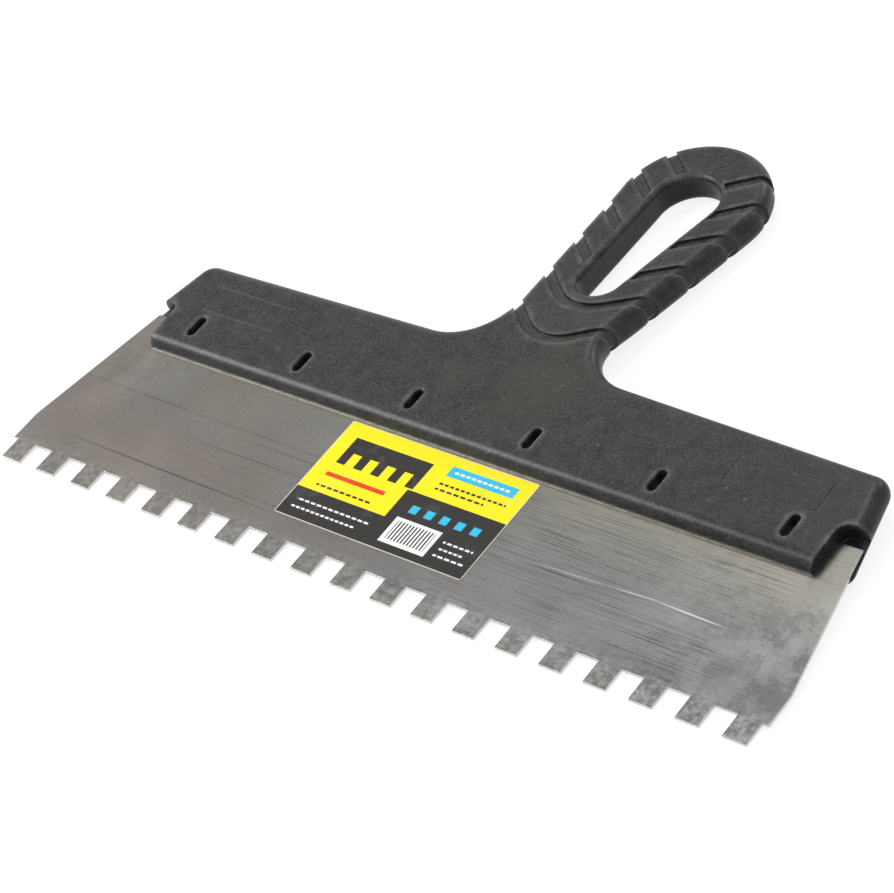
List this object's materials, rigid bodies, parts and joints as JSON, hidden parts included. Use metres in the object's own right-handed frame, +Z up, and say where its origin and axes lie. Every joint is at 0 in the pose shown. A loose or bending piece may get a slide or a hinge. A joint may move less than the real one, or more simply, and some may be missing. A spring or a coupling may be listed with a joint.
{
  "type": "notched trowel",
  "caption": "Wide notched trowel with a toothed stainless blade moulded into a plastic head and loop handle.",
  "frame": {"origin": "middle of the footprint, on the surface that the trowel lies on", "axes": "+X along the toothed edge, +Y from the teeth towards the loop handle, +Z up, out of the front face"},
  "size_m": [0.3, 0.2074, 0.0137],
  "materials": {
    "moulded_plastic": "fine spark texture",
    "blade_steel": "cold rolled, scuffed along its length",
    "label_film": "printed film"
  },
  "bodies": {
    "root": {"handle_moulding": "moulded_plastic", "blade": "blade_steel", "label": "label_film"}
  },
  "joints": []
}
